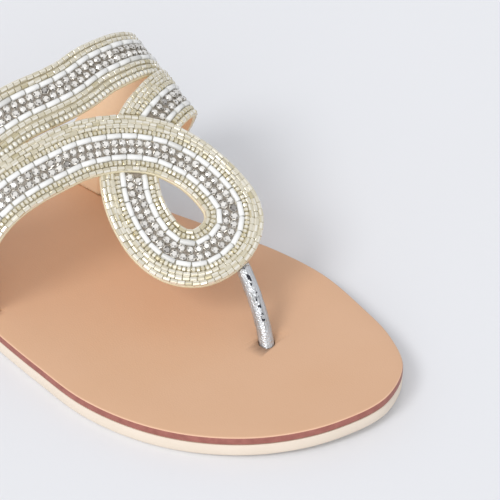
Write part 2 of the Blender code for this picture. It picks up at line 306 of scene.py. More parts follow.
@dataclass(frozen=True)
class FoilLeather(Finish):
    """Foil-faced leather: a metal sheen that has cracked along its fold and shows dark marks."""

    mark: str = "#33343A"
    shade: str = "#8F918F"
    mark_at: float = 0.07
    mark_half: float = 0.035
    mark_from: float = 0.38
    mark_mm: float = 1.0
    mark_level: float = 0.52
    mark_detail: float = 1.0
    streaks: tuple[float, float, float] = (16.0, 2.2, 1.0)
    streak_detail: float = 3.0
    streak_levels: tuple[float, float] = (0.45, 0.68)
    wrinkle_mm: float = 0.8
    wrinkle_depth_mm: float = 0.6

    def build(self) -> Material:
        """Make the material; streaks and marks follow the piece's own UV map.

        Returns:
            The material.
        """
        material, tree, shader = self.shader()
        around = add_node(tree, "ShaderNodeTexCoord").outputs["UV"]
        stretched = add_node(tree, "ShaderNodeVectorMath", {"operation": "MULTIPLY"}, {
            0: around, 1: self.streaks})
        streak = add_node(tree, "ShaderNodeTexNoise", inputs={
            "Vector": stretched.outputs["Vector"], "Scale": 1.0, "Detail": self.streak_detail})
        low, high = self.streak_levels
        harder = add_node(tree, "ShaderNodeMapRange", inputs={
            "Value": streak.outputs["Fac"], "From Min": low, "From Max": high})
        foil = blend(tree, harder.outputs["Result"], linear(self.colour), linear(self.shade))
        place = add_node(tree, "ShaderNodeSeparateXYZ", inputs={"Vector": around}).outputs
        fold = reckon(tree, "COMPARE", place["X"], self.mark_at, self.mark_half)
        upper_part = reckon(tree, "GREATER_THAN", place["Y"], self.mark_from)
        noise = clouds(tree, self.mark_mm, self.mark_detail)
        crack = reckon(tree, "GREATER_THAN", noise, self.mark_level)
        marks = reckon(tree, "MULTIPLY", reckon(tree, "MULTIPLY", fold, upper_part), crack)
        tree.links.new(blend(tree, marks, foil, linear(self.mark)), shader.inputs["Base Color"])
        self.emboss(material, self.wrinkle_mm, self.wrinkle_depth_mm)
        return material


class Looks:
    """Every finish of the slipper."""

    # Vegetable-tanned calf, plated smooth: matte tan with a broad soft sheen.
    FOOTBED = GrainLeather("plated_tan_calf", "#DAB08F", 0.48, coat=0.05, coat_roughness=0.4,
                           cloud="#D5A985")
    # Acrylic edge paint: reddish brown, rubbed thin in places.
    EDGE_PAINT = PlainFinish("acrylic_edge_paint", "#B06F64", 0.45, cloud="#80463B", cloud_mm=2.2)
    # Raw cut of the leather where the paint stops: pale and dry.
    RAW_EDGE = PlainFinish("raw_leather_cut", "#E9C3A6", 0.7, cloud="#DDB08F", cloud_mm=3.0)
    # Injection-moulded rubber: cream, dull, faintly blotched.
    RUBBER = PlainFinish("moulded_cream_rubber", "#E9DCCD", 0.58, cloud="#DFD1BF", cloud_mm=9.0)
    # Pigskin lining: tan with open pores.
    LINING = GrainLeather("tan_pigskin_lining", "#F3D8B8", 0.6, cloud="#EAC9A3", grain_mm=0.9)
    # Gold cloth binding folded over the strap's edge: pale and thready.
    BINDING = PlainFinish("pale_gold_cloth_binding", "#F0E9D2", 0.5, 0.1, cloud="#DDD0A8", cloud_mm=0.8)
    # Metallic thread cloth under the beads: champagne, showing only in the gaps.
    GROUND = PlainFinish("champagne_thread_cloth", "#E4DDC9", 0.5, 0.2, cloud="#C2B796", cloud_mm=1.0)
    # Backing under the stones: grey like the cup metal, and painted dark as the shade between the stones, so
    # that each stone stands alone.
    SHADED_STONE_GROUND = PlainFinish("darkened_cup_backing", "#BAB0A3", 0.5, 0.2, cloud="#71675D", cloud_mm=0.9)
    # Silver-lined champagne glass: bright core and hard glints; the facets also carry painted highlights,
    # shade and dark reflections.
    GOLD_GLASS = CutGlass("silver_lined_champagne_glass", "#F5F1E6", 0.12, 0.4, coat=1.0,
                          coat_roughness=0.03, deep_tint_and_shade="#C8BD9A")
    # Chalk-white opaque glass: porcelain gloss, with painted grey shade at the bead ends.
    WHITE_GLASS = CutGlass("opaque_white_glass", "#F1F1EF", 0.34, coat=0.4, deep_tint_and_shade="#BDBCB6")
    # Pearl-coated glass: milky with a soft sheen, and painted shade on some facets and at the ends.
    PEARL_GLASS = CutGlass("pearl_coated_glass", "#FBFAF3", 0.22, 0.3, coat=0.8, deep_tint_and_shade="#B9AF92")
    # Foiled crystal: sharp bright and dark facets, painted on as reflections.
    CRYSTAL = CutGlass("foiled_crystal", "#FFFCF6", 0.06, 0.35, coat=1.0, coat_roughness=0.02,
                       deep_tint_and_shade="#463D36")
    # Rhodium-plated brass: grey metal with soft edges.
    CUP_METAL = PlainFinish("rhodium_plated_brass", "#DAD6CE", 0.25, 0.8, cloud="#B4AEA3", cloud_mm=1.0)
    # Silver foil on leather: crinkled, and cracked at the fold.
    SILVER_FOIL = FoilLeather("silver_foil_leather", "#D0D2D5", 0.36, 0.7)


def in_scene(points: Array) -> list[Vector]:
    """Carry points from shoe millimetres to the frame's metres."""
    return [Vector(point) * MM + SHIFT for point in np.asarray(points).tolist()]


def link(name: str, data: bpy.types.ID) -> Item:
    """Make an object and put it into the scene.

    Args:
        name: its name.
        data: mesh, lamp or camera that it shows.

    Returns:
        The object.
    """
    item = bpy.data.objects.new(name, data)
    bpy.context.scene.collection.objects.link(item)
    return item


def face_outward(mesh: bpy.types.Mesh) -> None:
    """Turn every face outward.

    Args:
        mesh: a closed mesh.
    """
    work = bmesh.new()
    work.from_mesh(mesh)
    bmesh.ops.recalc_face_normals(work, faces=work.faces)
    work.to_mesh(mesh)
    work.free()


def shade(mesh: bpy.types.Mesh, sharp_deg: float) -> None:
    """Shade a mesh smooth, apart from edges that turn by more than an angle."""
    mesh.shade_smooth()
    mesh.set_sharp_from_angle(angle=math.radians(sharp_deg))


def new_piece(name: str, verts: Sequence, faces: Sequence, materials: Sequence[Material],
              slots: Optional[Sequence[int]] = None, sharp_deg: float = 40.0) -> Item:
    """Make a mesh object from points in shoe millimetres.

    Args:
        name: name of the object.
        verts: points.
        faces: vertex numbers of each face.
        materials: materials in slot order.
        slots: material slot of each face.
        sharp_deg: edges that turn more than this stay sharp.

    Returns:
        The object, linked into the scene, with its faces turned outward.
    """
    mesh = bpy.data.meshes.new(name)
    mesh.from_pydata(in_scene(verts), [], faces)
    for material in materials:
        mesh.materials.append(material)
    if slots is not None:
        mesh.polygons.foreach_set("material_index", list(slots))
    face_outward(mesh)
    shade(mesh, sharp_deg)
    return link(name, mesh)


def bake_modifiers(item: Item) -> None:
    """Replace a mesh by its evaluated mesh and drop the modifiers.

    Args:
        item: object with the modifiers.
    """
    bpy.context.view_layer.update()
    graph = bpy.context.evaluated_depsgraph_get()
    mesh = bpy.data.meshes.new_from_object(item.evaluated_get(graph), preserve_all_data_layers=True,
                                           depsgraph=graph)
    item.modifiers.clear()
    item.data = mesh
    mesh.name = item.name


def seat(item: Item, node: Optional[str] = None) -> None:
    """Tie a finished piece to the frame.

    Args:
        item: the piece.
        node: solid that the piece stands for.
    """
    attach(item, BODY)
    if node:
        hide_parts(node)
    LOG.info("%s: %d faces", item.name, len(item.data.polygons))


@dataclass
class Sole:
    """Outline and heights of the sole, and the two layers that make it."""

    outsole_thick: float = 4.1
    insole_thick: float = 2.5
    layer_gap: float = 0.3
    heel_rise: float = 4.5
    heel_rise_from: float = 165.0
    heel_rise_to: float = 45.0
    toe_spring: float = 2.0
    toe_spring_from: float = 212.0
    arch_lift: float = 2.6
    arch_from: float = 72.0
    arch_to: float = 158.0
    samples: int = 1200
    stations: int = 150
    lanes: int = 10
    slot_inset: float = 4.0
    heel_tip: tuple[float, float] = (1.0, 0.0)
    toe_tip: tuple[float, float] = (-11.5, 254.8)
    # Distance from the heel, medial edge, lateral edge.
    outline: tuple = (
        (6.0, -16.0, 18.0), (18.0, -25.0, 26.0), (40.0, -29.0, 29.5), (66.0, -29.5, 30.5),
        (96.0, -30.0, 31.0), (126.0, -32.3, 33.0), (150.0, -33.6, 36.0), (172.0, -37.6, 39.0),
        (192.0, -41.2, 40.7), (209.0, -41.4, 38.0), (226.0, -37.3, 30.6), (240.0, -32.0, 19.6),
        (250.5, -24.0, 4.5),
    )
    medial: Array = field(init=False)
    lateral: Array = field(init=False)

    def __post_init__(self) -> None:
        """Work out both edges from heel tip to toe tip, as parts of one closed curve."""
        overlap = 3
        lateral = [(x, along) for along, _, x in self.outline]
        medial = [(x, along) for along, x, _ in reversed(self.outline)]
        ring = np.array([self.heel_tip, *lateral, self.toe_tip, *medial])
        wrapped = np.vstack([ring[-overlap:], ring, ring[:overlap + 1]])
        knots = arc_lengths(wrapped)
        at = np.linspace(knots[overlap], knots[overlap + len(ring)], self.samples)
        dense = through_rows(knots, wrapped, at)
        heel, toe = int(np.argmin(dense[:, 1])), int(np.argmax(dense[:, 1]))
        dense = np.roll(dense[:-1], -heel, axis=0)
        toe = (toe - heel) % (self.samples - 1)
        self.lateral = dense[:toe + 1]
        self.medial = np.vstack([dense[toe:], dense[:1]])[::-1]

    def edge_x(self, side: Array, along: Array) -> Array:
        """Edge of the sole at distances from the heel."""
        return np.interp(along, side[:, 1], side[:, 0])

    @property
    def ends(self) -> tuple[float, float]:
        """Heel and toe ends of the sole."""
        return float(self.lateral[0, 1]), float(self.lateral[-1, 1])

    @property
    def middle_x(self) -> float:
        """Middle of the sole's width in shoe axes."""
        return float(self.lateral[:, 0].max() + self.medial[:, 0].min()) / 2.0

    def spring(self, along: Array) -> Array:
        """Lift of the toe off the floor."""
        reach = np.clip((along - self.toe_spring_from) / (self.ends[1] - self.toe_spring_from), 0.0, 1.0)
        return self.toe_spring * reach ** 2

    def tread(self, along: Array) -> Array:
        """Underside of the outsole."""
        arch = np.clip((along - self.arch_from) / (self.arch_to - self.arch_from), 0.0, 1.0)
        return self.arch_lift * np.sin(math.pi * arch) ** 2 + self.spring(along)

    def outsole_top(self, along: Array) -> Array:
        """Upper face of the outsole."""
        rise = smooth_step((self.heel_rise_from - along) / (self.heel_rise_from - self.heel_rise_to))
        return self.outsole_thick + self.heel_rise * rise + self.spring(along)

    def insole_under(self, along: Array) -> Array:
        """Underside of the insole."""
        return self.outsole_top(along) + self.layer_gap

    def footbed(self, along: Array) -> Array:
        """Upper face of the insole."""
        return self.insole_under(along) + self.insole_thick

    def layer(self, name: str, levels: Sequence[tuple[float, float, Callable]], slots: Sequence[int],
              materials: Sequence[Material]) -> Item:
        """Make a layer with the sole's outline.

        Args:
            name: name of the piece.
            levels: inset, height added and height function of each ring, from below.
            slots: material slot of the bottom, of each side step and of the top.
            materials: materials in slot order.

        Returns:
            The piece.
        """
        turn = np.linspace(0.0, math.pi, self.stations + 1)
        share = (1.0 - np.cos(turn)) / 2.0
        heel, toe = self.ends
        full = heel + share * (toe - heel)
        last = self.stations
        count = 2 * last
        verts, sides = [], []
        for inset, lift, height in levels:
            along = heel + inset + share * (toe - heel - 2.0 * inset)
            medial = self.edge_x(self.medial, full) + inset * np.sin(turn)
            lateral = self.edge_x(self.lateral, full) - inset * np.sin(turn)
            z = height(along) + lift
            order = [(lateral, i) for i in range(last + 1)] + [(medial, i) for i in range(last - 1, 0, -1)]
            sides.append((along, medial, lateral, z))
            verts += [(edge[i], along[i], z[i]) for edge, i in order]
        *faces, bottom, top = loft_faces(len(levels), count)
        kinds = [slot for slot in slots[1:-1] for _ in range(count)]
        for end, loop in ((0, bottom), (-1, top)):
            along, medial, lateral, z = sides[end]
            rows = {}
            for i in range(1, last):
                first = len(verts)
                steps = np.arange(1, self.lanes)
                inner = medial[i] + (lateral[i] - medial[i]) * steps / self.lanes
                verts += [(x, along[i], z[i]) for x in inner]
                rows[i] = [loop[count - i], *range(first, len(verts)), loop[i]]
            for j in range(self.lanes):
                for i in range(1, last - 1):
                    faces.append((rows[i][j], rows[i][j + 1], rows[i + 1][j + 1], rows[i + 1][j]))
                for tip, near in ((0, 1), (last, last - 1)):
                    faces.append((loop[tip], rows[near][j], rows[near][j + 1]))
                kinds += [slots[end]] * last
        return new_piece(name, verts, faces, materials, kinds)

    def build_outsole(self) -> None:
        """Make the moulded outsole with its rounded tread edge."""
        # Inset, height added, height.
        levels = ((1.0, 0.0, self.tread), (0.45, 0.15, self.tread), (0.12, 0.45, self.tread),
                  (0.0, 1.0, self.tread), (0.0, -0.3, self.outsole_top), (0.2, 0.0, self.outsole_top))
        piece = self.layer("outsole_rubber", levels, [0] * (len(levels) + 1), [Looks.RUBBER.build()])
        seat(piece, "outsole")

    def build_insole(self, cutters: Sequence[Item]) -> None:
        """Make the leather insole with its painted edge.

        Args:
            cutters: bodies of the slots and of the post's hole, used up here.
        """
        # Inset, height added, height.
        levels = ((0.2, 0.0, self.insole_under), (0.0, 0.2, self.insole_under), (0.0, -0.6, self.footbed),
                  (0.12, -0.25, self.footbed), (0.4, -0.05, self.footbed), (0.8, 0.0, self.footbed))
        leather, paint, raw = range(3)
        materials = [look.build() for look in (Looks.FOOTBED, Looks.EDGE_PAINT, Looks.RAW_EDGE)]
        slots = (leather, paint, paint, paint, raw, leather, leather)
        piece = self.layer("insole_leather", levels, slots, materials)
        for cutter in cutters:
            modifier = piece.modifiers.new(cutter.name, "BOOLEAN")
            modifier.operation = "DIFFERENCE"
            modifier.object = cutter
            modifier.solver = "EXACT"
        bake_modifiers(piece)
        for cutter in cutters:
            bpy.data.objects.remove(cutter, do_unlink=True)
        seat(piece, "insole")


@dataclass
class Last:
    """The foot form that the straps lie on, read by distance from the heel and share of girth."""

    sole: Sole
    base: float = 7.0
    medial_fullness: float = 0.49
    lateral_fullness: float = 0.62
    tuck_power: int = 2
    samples: int = 61
    along_step: float = 0.5
    across_step: float = 0.01
    settle_rounds: int = 6
    # Distance from the heel, crest x, crest height, medial x, lateral x, slope at the crest.
    sections: tuple = (
        (90.0, -8.0, 79.0, -58.0, 34.0, 0.0), (115.0, -9.0, 73.0, -65.0, 36.0, 0.0),
        (140.0, -13.0, 62.0, -57.0, 38.0, 0.1), (165.0, -18.0, 48.0, -46.0, 40.0, 0.25),
        (190.0, -20.0, 34.0, -43.0, 40.0, 0.35), (215.0, -18.0, 21.0, -42.0, 36.0, 0.35),
    )

    def points(self, spots: Array) -> Array:
        """Points of the form; past the slots it runs straight down.

        Args:
            spots: rows of distance from the heel and share of girth, -1 medial to 1 lateral.

        Returns:
            One point for each spot.
        """
        along, across = spots[:, 0], spots[:, 1]
        table = np.array(self.sections)
        sizes = through_rows(table[:, 0], table[:, 1:], along)
        crest_x, crest_z, medial_x, lateral_x, roll = (column[:, None] for column in sizes.T)
        lateral = (across >= 0.0)[:, None]
        inset = self.sole.slot_inset
        slot_x = np.where(lateral[:, 0], self.sole.edge_x(self.sole.lateral, along) - inset,
                          self.sole.edge_x(self.sole.medial, along) + inset)[:, None]
        wide_x = np.where(lateral, lateral_x, medial_x)
        fullness = np.where(lateral, self.lateral_fullness, self.medial_fullness)
        angle = (math.pi / 2.0) * np.linspace(1.0, 0.0, self.samples)[None, :] ** 2
        lift = np.sin(angle)
        tuck = (slot_x - wide_x) * (1.0 - lift) ** self.tuck_power
        x = crest_x + (wide_x - crest_x) * np.cos(angle) + tuck
        z = self.base + (crest_z - self.base) * lift ** fullness + roll * (crest_x - x) * lift
        girth = np.hypot(np.diff(x, axis=1), np.diff(z, axis=1))
        girth = np.concatenate([np.zeros((len(along), 1)), np.cumsum(girth, axis=1)], axis=1)
        target = np.abs(across) * girth[:, -1]
        reach = np.minimum(target, girth[:, -1])
        low = np.clip((girth <= reach[:, None]).sum(axis=1) - 1, 0, self.samples - 2)
        pick = np.arange(len(along))
        t = (reach - girth[pick, low]) / (girth[pick, low + 1] - girth[pick, low])
        out_x = x[pick, low] * (1.0 - t) + x[pick, low + 1] * t
        out_z = z[pick, low] * (1.0 - t) + z[pick, low + 1] * t - (target - reach)
        return np.stack([out_x, along, out_z], axis=1)

    def slopes(self, spots: Array) -> list[Array]:
        """Rates of change along and across."""
        steps = np.diag([self.along_step, self.across_step])
        return [(self.points(spots + d) - self.points(spots - d)) / (2.0 * d.max()) for d in steps]

    def normals(self, spots: Array) -> Array:
        """Outward unit normals."""
        by_along, by_across = self.slopes(spots)
        return unit(np.cross(by_across, by_along))

    def settle(self, targets: Array, spots: Array) -> Array:
        """Find the spots nearest to target points.

        Args:
            targets: points near the form.
            spots: first guesses.

        Returns:
            The spots.
        """
        spots = spots.copy()
        for _ in range(self.settle_rounds):
            by_along, by_across = self.slopes(spots)
            miss = targets - self.points(spots)
            pairs = ((by_along, by_along), (by_along, by_across), (by_across, by_across), (miss, by_along),
                     (miss, by_across))
            aa, ac, cc, ma, mc = ((first * second).sum(axis=1) for first, second in pairs)
            size = aa * cc - ac * ac
            spots[:, 0] += (cc * ma - ac * mc) / size
            spots[:, 1] += (aa * mc - ac * ma) / size
        return spots


class Bead(enum.Enum):
    """Kinds of bead row."""

    GOLD_TUBE = "gold_tubes"
    GOLD_SEED = "gold_seeds"
    WHITE_TUBE = "white_tubes"
    PEARL_SEED = "pearl_seeds"
    STONE = "stones"


@dataclass(frozen=True)
class BeadSize:
    """Size of a bead and how it sits on the strap, in millimetres, and the painted light and shade of its
    facets.
    """

    length: float
    width: float
    pitch: float
    height: float
    chamfer: float
    tint_spread: float
    spin: tuple[float, float, float]
    painted_facet_tones: tuple
    rim_painted_light: float
    bevel_painted_shade: float
    facet_share: float = 0.72
    sides: int = 6


# Length, width, pitch, height, chamfer, spread of tint, spin, painted light and shade of the facets, rims
# and bevels.
BEAD_SIZES = {
    Bead.GOLD_TUBE: BeadSize(2.02, 1.48, 2.06, 0.6, 0.12, 0.4, (FULL_TURN, 0.12, 0.08),
                             (0.0, 0.35, 0.05, 0.55, 0.1, 0.2), 0.5, 0.5),
    Bead.GOLD_SEED: BeadSize(1.24, 1.54, 1.3, 0.62, 0.26, 0.4, (FULL_TURN, 0.2, 0.15),
                             (0.0, 0.4, 0.1, 0.6, 0.0, 0.2), 0.7, 0.4),
    Bead.WHITE_TUBE: BeadSize(4.25, 1.64, 4.38, 0.62, 0.16, 0.2, (FULL_TURN, 0.02, 0.02),
                              (0.0,), 0.5, 0.0, facet_share=0.5),
    Bead.PEARL_SEED: BeadSize(1.35, 1.7, 1.48, 0.62, 0.3, 0.4, (FULL_TURN, 0.15, 0.12),
                              (0.0, 0.3, 0.0, 0.5, 0.0, 0.15), 0.5, 0.2),
    Bead.STONE: BeadSize(2.26, 2.26, 2.38, 0.7, 0.0, 0.3, (0.3, 0.3, FULL_TURN),
                         (0.1, 0.7, 0.2, 0.0, 1.0, 0.1, 0.5), 0.05, 0.0),
}


@dataclass
class Strap:
    """One beaded strap: a leather wall that follows a path on the last, and its rows of beads."""

    name: str
    last: Last
    path: tuple
    rows: tuple
    dip: Callable[[Array], Array]
    wall: float = 1.8
    ground: float = 0.35
    selvage: float = 0.15
    lip: float = 0.3
    fold: float = 1.0
    lining_shares: tuple = (0.7, 0.35, 0.0, -0.35, -0.7)
    bead_floor: float = 0.3
    step: float = 1.5
    fineness: int = 60
    spots: Array = field(init=False)
    marks: Array = field(init=False)
    centre: Array = field(init=False)
    side: Array = field(init=False)

    def __post_init__(self) -> None:
        """Space the stations evenly along the path."""
        path = np.array(self.path)
        count = np.arange(len(path), dtype=float)
        fine = np.linspace(0.0, count[-1], self.fineness * len(path))
        length = arc_lengths(self.last.points(through_rows(count, path, fine)))
        at = np.linspace(0.0, length[-1], int(round(length[-1] / self.step)) + 1)
        self.marks = np.interp(at, length, fine)
        self.spots = through_rows(count, path, self.marks)
        self.centre = self.last.points(self.spots)
        ahead = np.gradient(self.centre, axis=0)
        self.side = unit(np.cross(ahead, self.last.normals(self.spots)))

    @property
    def half(self) -> float:
        """Half of the strap's width."""
        return sum(width for _, width in self.rows) / 2.0 + self.selvage

    @property
    def row_edges(self) -> list[float]:
        """Offsets of the rows' edges from the centre line."""
        widths = (width for _, width in self.rows)
        return list(itertools.accumulate(widths, initial=-self.half + self.selvage))

    def lane(self, offset: float) -> tuple[Array, Array]:
        """A line that runs beside the strap's centre line.

        Args:
            offset: distance from the centre line, negative towards the rear edge.

        Returns:
            Points on the last, sunk where the strap dips, and their normals.
        """
        spots = self.last.settle(self.centre + self.side * offset, self.spots)
        normals = self.last.normals(spots)
        return self.last.points(spots) - normals * self.dip(self.marks)[:, None], normals

    def section(self) -> list[tuple[float, float, int]]:
        """Work out the wall's closed section.

        Returns:
            Offset and height of each point, and the material slot of the face that follows it.
        """
        lining, edge, ground, stone = range(4)
        half, top, bottom = self.half, self.ground, -self.wall
        # Stone lanes take the backing that is painted dark as the shade between the stones.
        kinds = [stone if kind is Bead.STONE else ground for kind, _ in self.rows]
        return [
            (-half, bottom + self.fold, edge), (-half, top - self.lip, edge),
            (-half + self.lip, top, kinds[0]),
            *((at, top, kind) for at, kind in zip(self.row_edges[1:], kinds[1:])),
            (half - self.lip, top, edge), (half, top - self.lip, edge), (half, bottom + self.fold, lining),
            (half - self.fold, bottom, lining),
            *((half * share, bottom, lining) for share in self.lining_shares),
            (-half + self.fold, bottom, lining),
        ]

    def build_wall(self, materials: Sequence[Material]) -> None:
        """Make the strap's leather wall.

        Args:
            materials: lining, edge, ground, and the stone ground with its painted shade.
        """
        section = self.section()
        lanes = []
        for offset, height, _ in section:
            points, normals = self.lane(offset)
            lanes.append(points + normals * height)
        verts = np.stack(lanes, axis=1)
        faces = loft_faces(*verts.shape[:2])
        slots = [slot for _, _, slot in section] * (len(verts) - 1) + [0, 0]
        piece = new_piece(f"{self.name}_leather", verts.reshape(-1, 3), faces, materials, slots)
        seat(piece, "upper")

    def bead_seats(self, kind: Bead,
                   hidden: Callable[[Array, Array], Array]) -> dict[str, Array]:
        """Places of all beads of one kind.

        Args:
            kind: kind of bead.
            hidden: tells which points, at which marks, lie under another strap.

        Returns:
            Points, run directions and up directions.
        """
        size = BEAD_SIZES[kind]
        found = [np.zeros((0, 9))]
        for (row_kind, width), edge in zip(self.rows, self.row_edges):
            if row_kind is not kind:
                continue
            points, normals = self.lane(edge + width / 2.0)
            points = points + normals * size.height
            length = arc_lengths(points)
            above = points[:, 2] > self.last.sole.footbed(points[:, 1]) + self.bead_floor
            start, end = length[above][[0, -1]]
            count = int((end - start) / size.pitch)
            spread = start + (np.arange(count) + 0.5) * (end - start) / count
            seats = read_columns(spread, length, np.hstack([points, np.gradient(points, axis=0), normals]))
            found.append(seats[~hidden(seats[:, :3], np.interp(spread, length, self.marks))])
        points, runs, ups = np.split(np.vstack(found), 3, axis=1)
        return {"points": points, "run": unit(runs), "up": unit(ups)}


def tube_bead(size: BeadSize) -> Shape:
    """Shape of a tube bead along X, with narrow bevels between its long facets.

    Args:
        size: its size.

    Returns:
        Points, faces and the painted light and shade value of each face.
    """
    half, radius, cut = size.length / 2.0, size.width / 2.0, size.chamfer
    rings = ((-half, radius - cut), (-half + cut, radius), (half - cut, radius), (half, radius - cut))
    around = 2 * size.sides
    verts, long_painted_tones = [], []
    for x, r in rings:
        for k in range(around):
            turn = FULL_TURN * (k // 2 + (0.5 + (k % 2 - 0.5) * size.facet_share)) / size.sides
            verts.append((x, r * math.sin(turn), r * math.cos(turn)))
    # Long facets take painted highlights and dark reflections by turn; bevels and ends take painted shade.
    for k in range(around):
        long_painted_tones.append(size.bevel_painted_shade if k % 2 else size.painted_facet_tones[k // 2 % len(size.painted_facet_tones)])
    end_painted_shade = [size.rim_painted_light] * around
    return verts, loft_faces(len(rings), around), end_painted_shade + long_painted_tones + end_painted_shade + [size.rim_painted_light] * 2


def cut_stone(size: BeadSize) -> Shape:
    """Shape of a chaton with its table up along Z.

    Args:
        size: its size.

    Returns:
        Points, faces and the painted light and shade value of each face.
    """
    radius, sides = size.width / 2.0, size.sides
    # Height in millimetres, share of the radius, share of a side's turn.
    rings = ((-0.45, 0.8, 0.0), (0.0, 1.0, 0.0), (0.5, 0.58, 0.5))
    verts, faces = [], []
    for z, share, twist in rings:
        for k in range(sides):
            turn = FULL_TURN * (k + twist) / sides
            verts.append((radius * share * math.cos(turn), radius * share * math.sin(turn), z))
    for ring in range(len(rings) - 1):
        for k in range(sides):
            n = (k + 1) % sides
            a, b = ring * sides, (ring + 1) * sides
            faces += [(a + k, a + n, b + k), (a + n, b + n, b + k)]
    faces += [tuple(range(2 * sides, 3 * sides)), tuple(range(sides))]
    # Facets take painted highlights and dark reflections; the table takes the rim value, nearly the full
    # bright colour.
    painted_facet_tones = [size.painted_facet_tones[k % len(size.painted_facet_tones)] for k in range(len(faces))]
    painted_facet_tones[-2] = size.rim_painted_light
    return verts, faces, painted_facet_tones


def stone_cup(size: BeadSize) -> Shape:
    """Shape of the cup around a stone, with its prongs folded over.

    Args:
        size: size of the stone.

    Returns:
        Points, faces and a facet tone for each face.
    """
    radius, sides = size.width / 2.0, 8
    prong_top, rim_top = 0.24, -0.05
    # Share of the stone's radius, height in millimetres, share of the prong's height.
    profile = ((1.04, -0.6, 0.0), (1.1, 0.0, 1.0), (0.93, 0.04, 1.0), (0.8, -0.5, 0.0))
    verts, faces = [], []
    for k in range(sides):
        turn = FULL_TURN * (k + 0.5) / sides
        top = rim_top if k % 2 else prong_top
        for share, height, rise in profile:
            r = radius * share
            verts.append((r * math.cos(turn), r * math.sin(turn), height + rise * top))
    corners = len(profile)
    for k in range(sides):
        a, b = corners * k, corners * ((k + 1) % sides)
        for j in range(corners):
            m = (j + 1) % corners
            faces.append((a + j, b + j, b + m, a + m))
    return verts, faces, [0.0] * len(faces)


@dataclass
class BeadStringer:
    """Geometry Nodes tree that sets a bead on every point, turned along the row and off the strap."""

    name: str = "string_beads"
    scale_low: float = 0.95
    scale_high: float = 1.03
    # Share of beads painted dark all over as dark glints, and how much darker they are painted.
    dark_glint_share: float = 0.05
    dark_glint_tint: float = 0.5
    tint_curve: tuple[float, float] = (0.9, 2.2)
    sharp_deg: float = 50.0
    # Name and kind of each input.
    sockets: tuple = (
        ("Geometry", "Geometry"), ("Bead", "Object"), ("Material", "Material"), ("Scale Low", "Float"),
        ("Scale High", "Float"), ("Spin", "Vector"), ("Seed", "Int"),
    )

    def tree(self) -> Tree:
        """Build the tree.

        Returns:
            The node group, with inputs for the bead, its material, its size spread, its spin and the seed.
        """
        tree = bpy.data.node_groups.new(self.name, "GeometryNodeTree")
        for name, kind in self.sockets:
            tree.interface.new_socket(name, in_out="INPUT", socket_type=f"NodeSocket{kind}")
        tree.interface.new_socket("Geometry", in_out="OUTPUT", socket_type="NodeSocketGeometry")
        source = add_node(tree, "NodeGroupInput").outputs
        bead = add_node(tree, "GeometryNodeObjectInfo", inputs={"Object": source["Bead"]})
        named, vector = "GeometryNodeInputNamedAttribute", {"data_type": "FLOAT_VECTOR"}
        up, run = (add_node(tree, named, vector, {"Name": name}).outputs["Attribute"]
                   for name in ("up", "run"))
        turn = add_node(tree, "FunctionNodeAxesToRotation", {"primary_axis": "Z", "secondary_axis": "X"}, {
            0: up, 1: run})
        spin = add_node(tree, "FunctionNodeRandomValue", vector, {
            0: (0.0, 0.0, 0.0), 1: source["Spin"], "Seed": source["Seed"]})
        own = add_node(tree, "FunctionNodeEulerToRotation", inputs={"Euler": spin.outputs[0]})
        spun = add_node(tree, "FunctionNodeRotateRotation", {"rotation_space": "LOCAL"}, {
            "Rotation": turn.outputs["Rotation"], "Rotate By": own.outputs["Rotation"]})
        spread = add_node(tree, "FunctionNodeRandomValue", {"data_type": "FLOAT"}, {
            2: source["Scale Low"], 3: source["Scale High"], "Seed": source["Seed"]})
        placed = add_node(tree, "GeometryNodeInstanceOnPoints", inputs={
            "Points": source["Geometry"], "Instance": bead.outputs["Geometry"],
            "Rotation": spun.outputs["Rotation"], "Scale": spread.outputs[1]})
        real = add_node(tree, "GeometryNodeRealizeInstances", inputs={
            "Geometry": placed.outputs["Instances"]})
        dressed = add_node(tree, "GeometryNodeSetMaterial", inputs={
            "Geometry": real.outputs["Geometry"], "Material": source["Material"]})
        add_node(tree, "NodeGroupOutput", inputs={"Geometry": dressed.outputs["Geometry"]})
        return tree

    def string(self, tree: Tree, name: str, seats: dict[str, Array], shape: Shape, material: Material,
               size: BeadSize, smooth: bool) -> None:
        """Set beads on their seats and keep the result as one plain mesh.

        Args:
            tree: the node group.
            name: name of the piece.
            seats: points, run and up directions.
            shape: points, faces and painted facet light and shade of one bead, in millimetres.
            material: the beads' material.
            size: the beads' size, spread of tint and spin.
            smooth: whether the beads are shaded smooth.
        """
        verts, faces, painted_facet_tones = shape
        bead_mesh = bpy.data.meshes.new(f"{name}_shape")
        bead_mesh.from_pydata([Vector(point) * MM for point in verts], [], faces)
        # Each face carries its painted light and shade for the glass material.
        bead_mesh.attributes.new("facet", "FLOAT", "FACE").data.foreach_set("value", painted_facet_tones)
        face_outward(bead_mesh)
        if smooth:
            shade(bead_mesh, self.sharp_deg)
        bead = bpy.data.objects.new(f"{name}_shape", bead_mesh)
        mesh = bpy.data.meshes.new(name)
        mesh.from_pydata(in_scene(seats["points"]), [], [])
        for key in ("run", "up"):
            mesh.attributes.new(key, "FLOAT_VECTOR", "POINT").data.foreach_set("vector", seats[key].ravel())
        rng = np.random.default_rng(SEED + len(name))
        count = len(seats["points"])
        tint = rng.beta(*self.tint_curve, count) * size.tint_spread
        # A few beads are painted dark all over, standing for dark glints.
        tint[rng.random(count) < self.dark_glint_share] += self.dark_glint_tint
        mesh.attributes.new("tint", "FLOAT", "POINT").data.foreach_set("value", tint)
        item = link(name, mesh)
        modifier = item.modifiers.new("beads", "NODES")
        modifier.node_group = tree
        values = {"Bead": bead, "Material": material, "Scale Low": self.scale_low,
                  "Scale High": self.scale_high, "Spin": size.spin, "Seed": SEED}
        for socket in tree.interface.items_tree:
            if socket.in_out == "INPUT" and socket.name in values:
                modifier[socket.identifier] = values[socket.name]
        bake_modifiers(item)
        bpy.data.objects.remove(bead, do_unlink=True)
        seat(item)


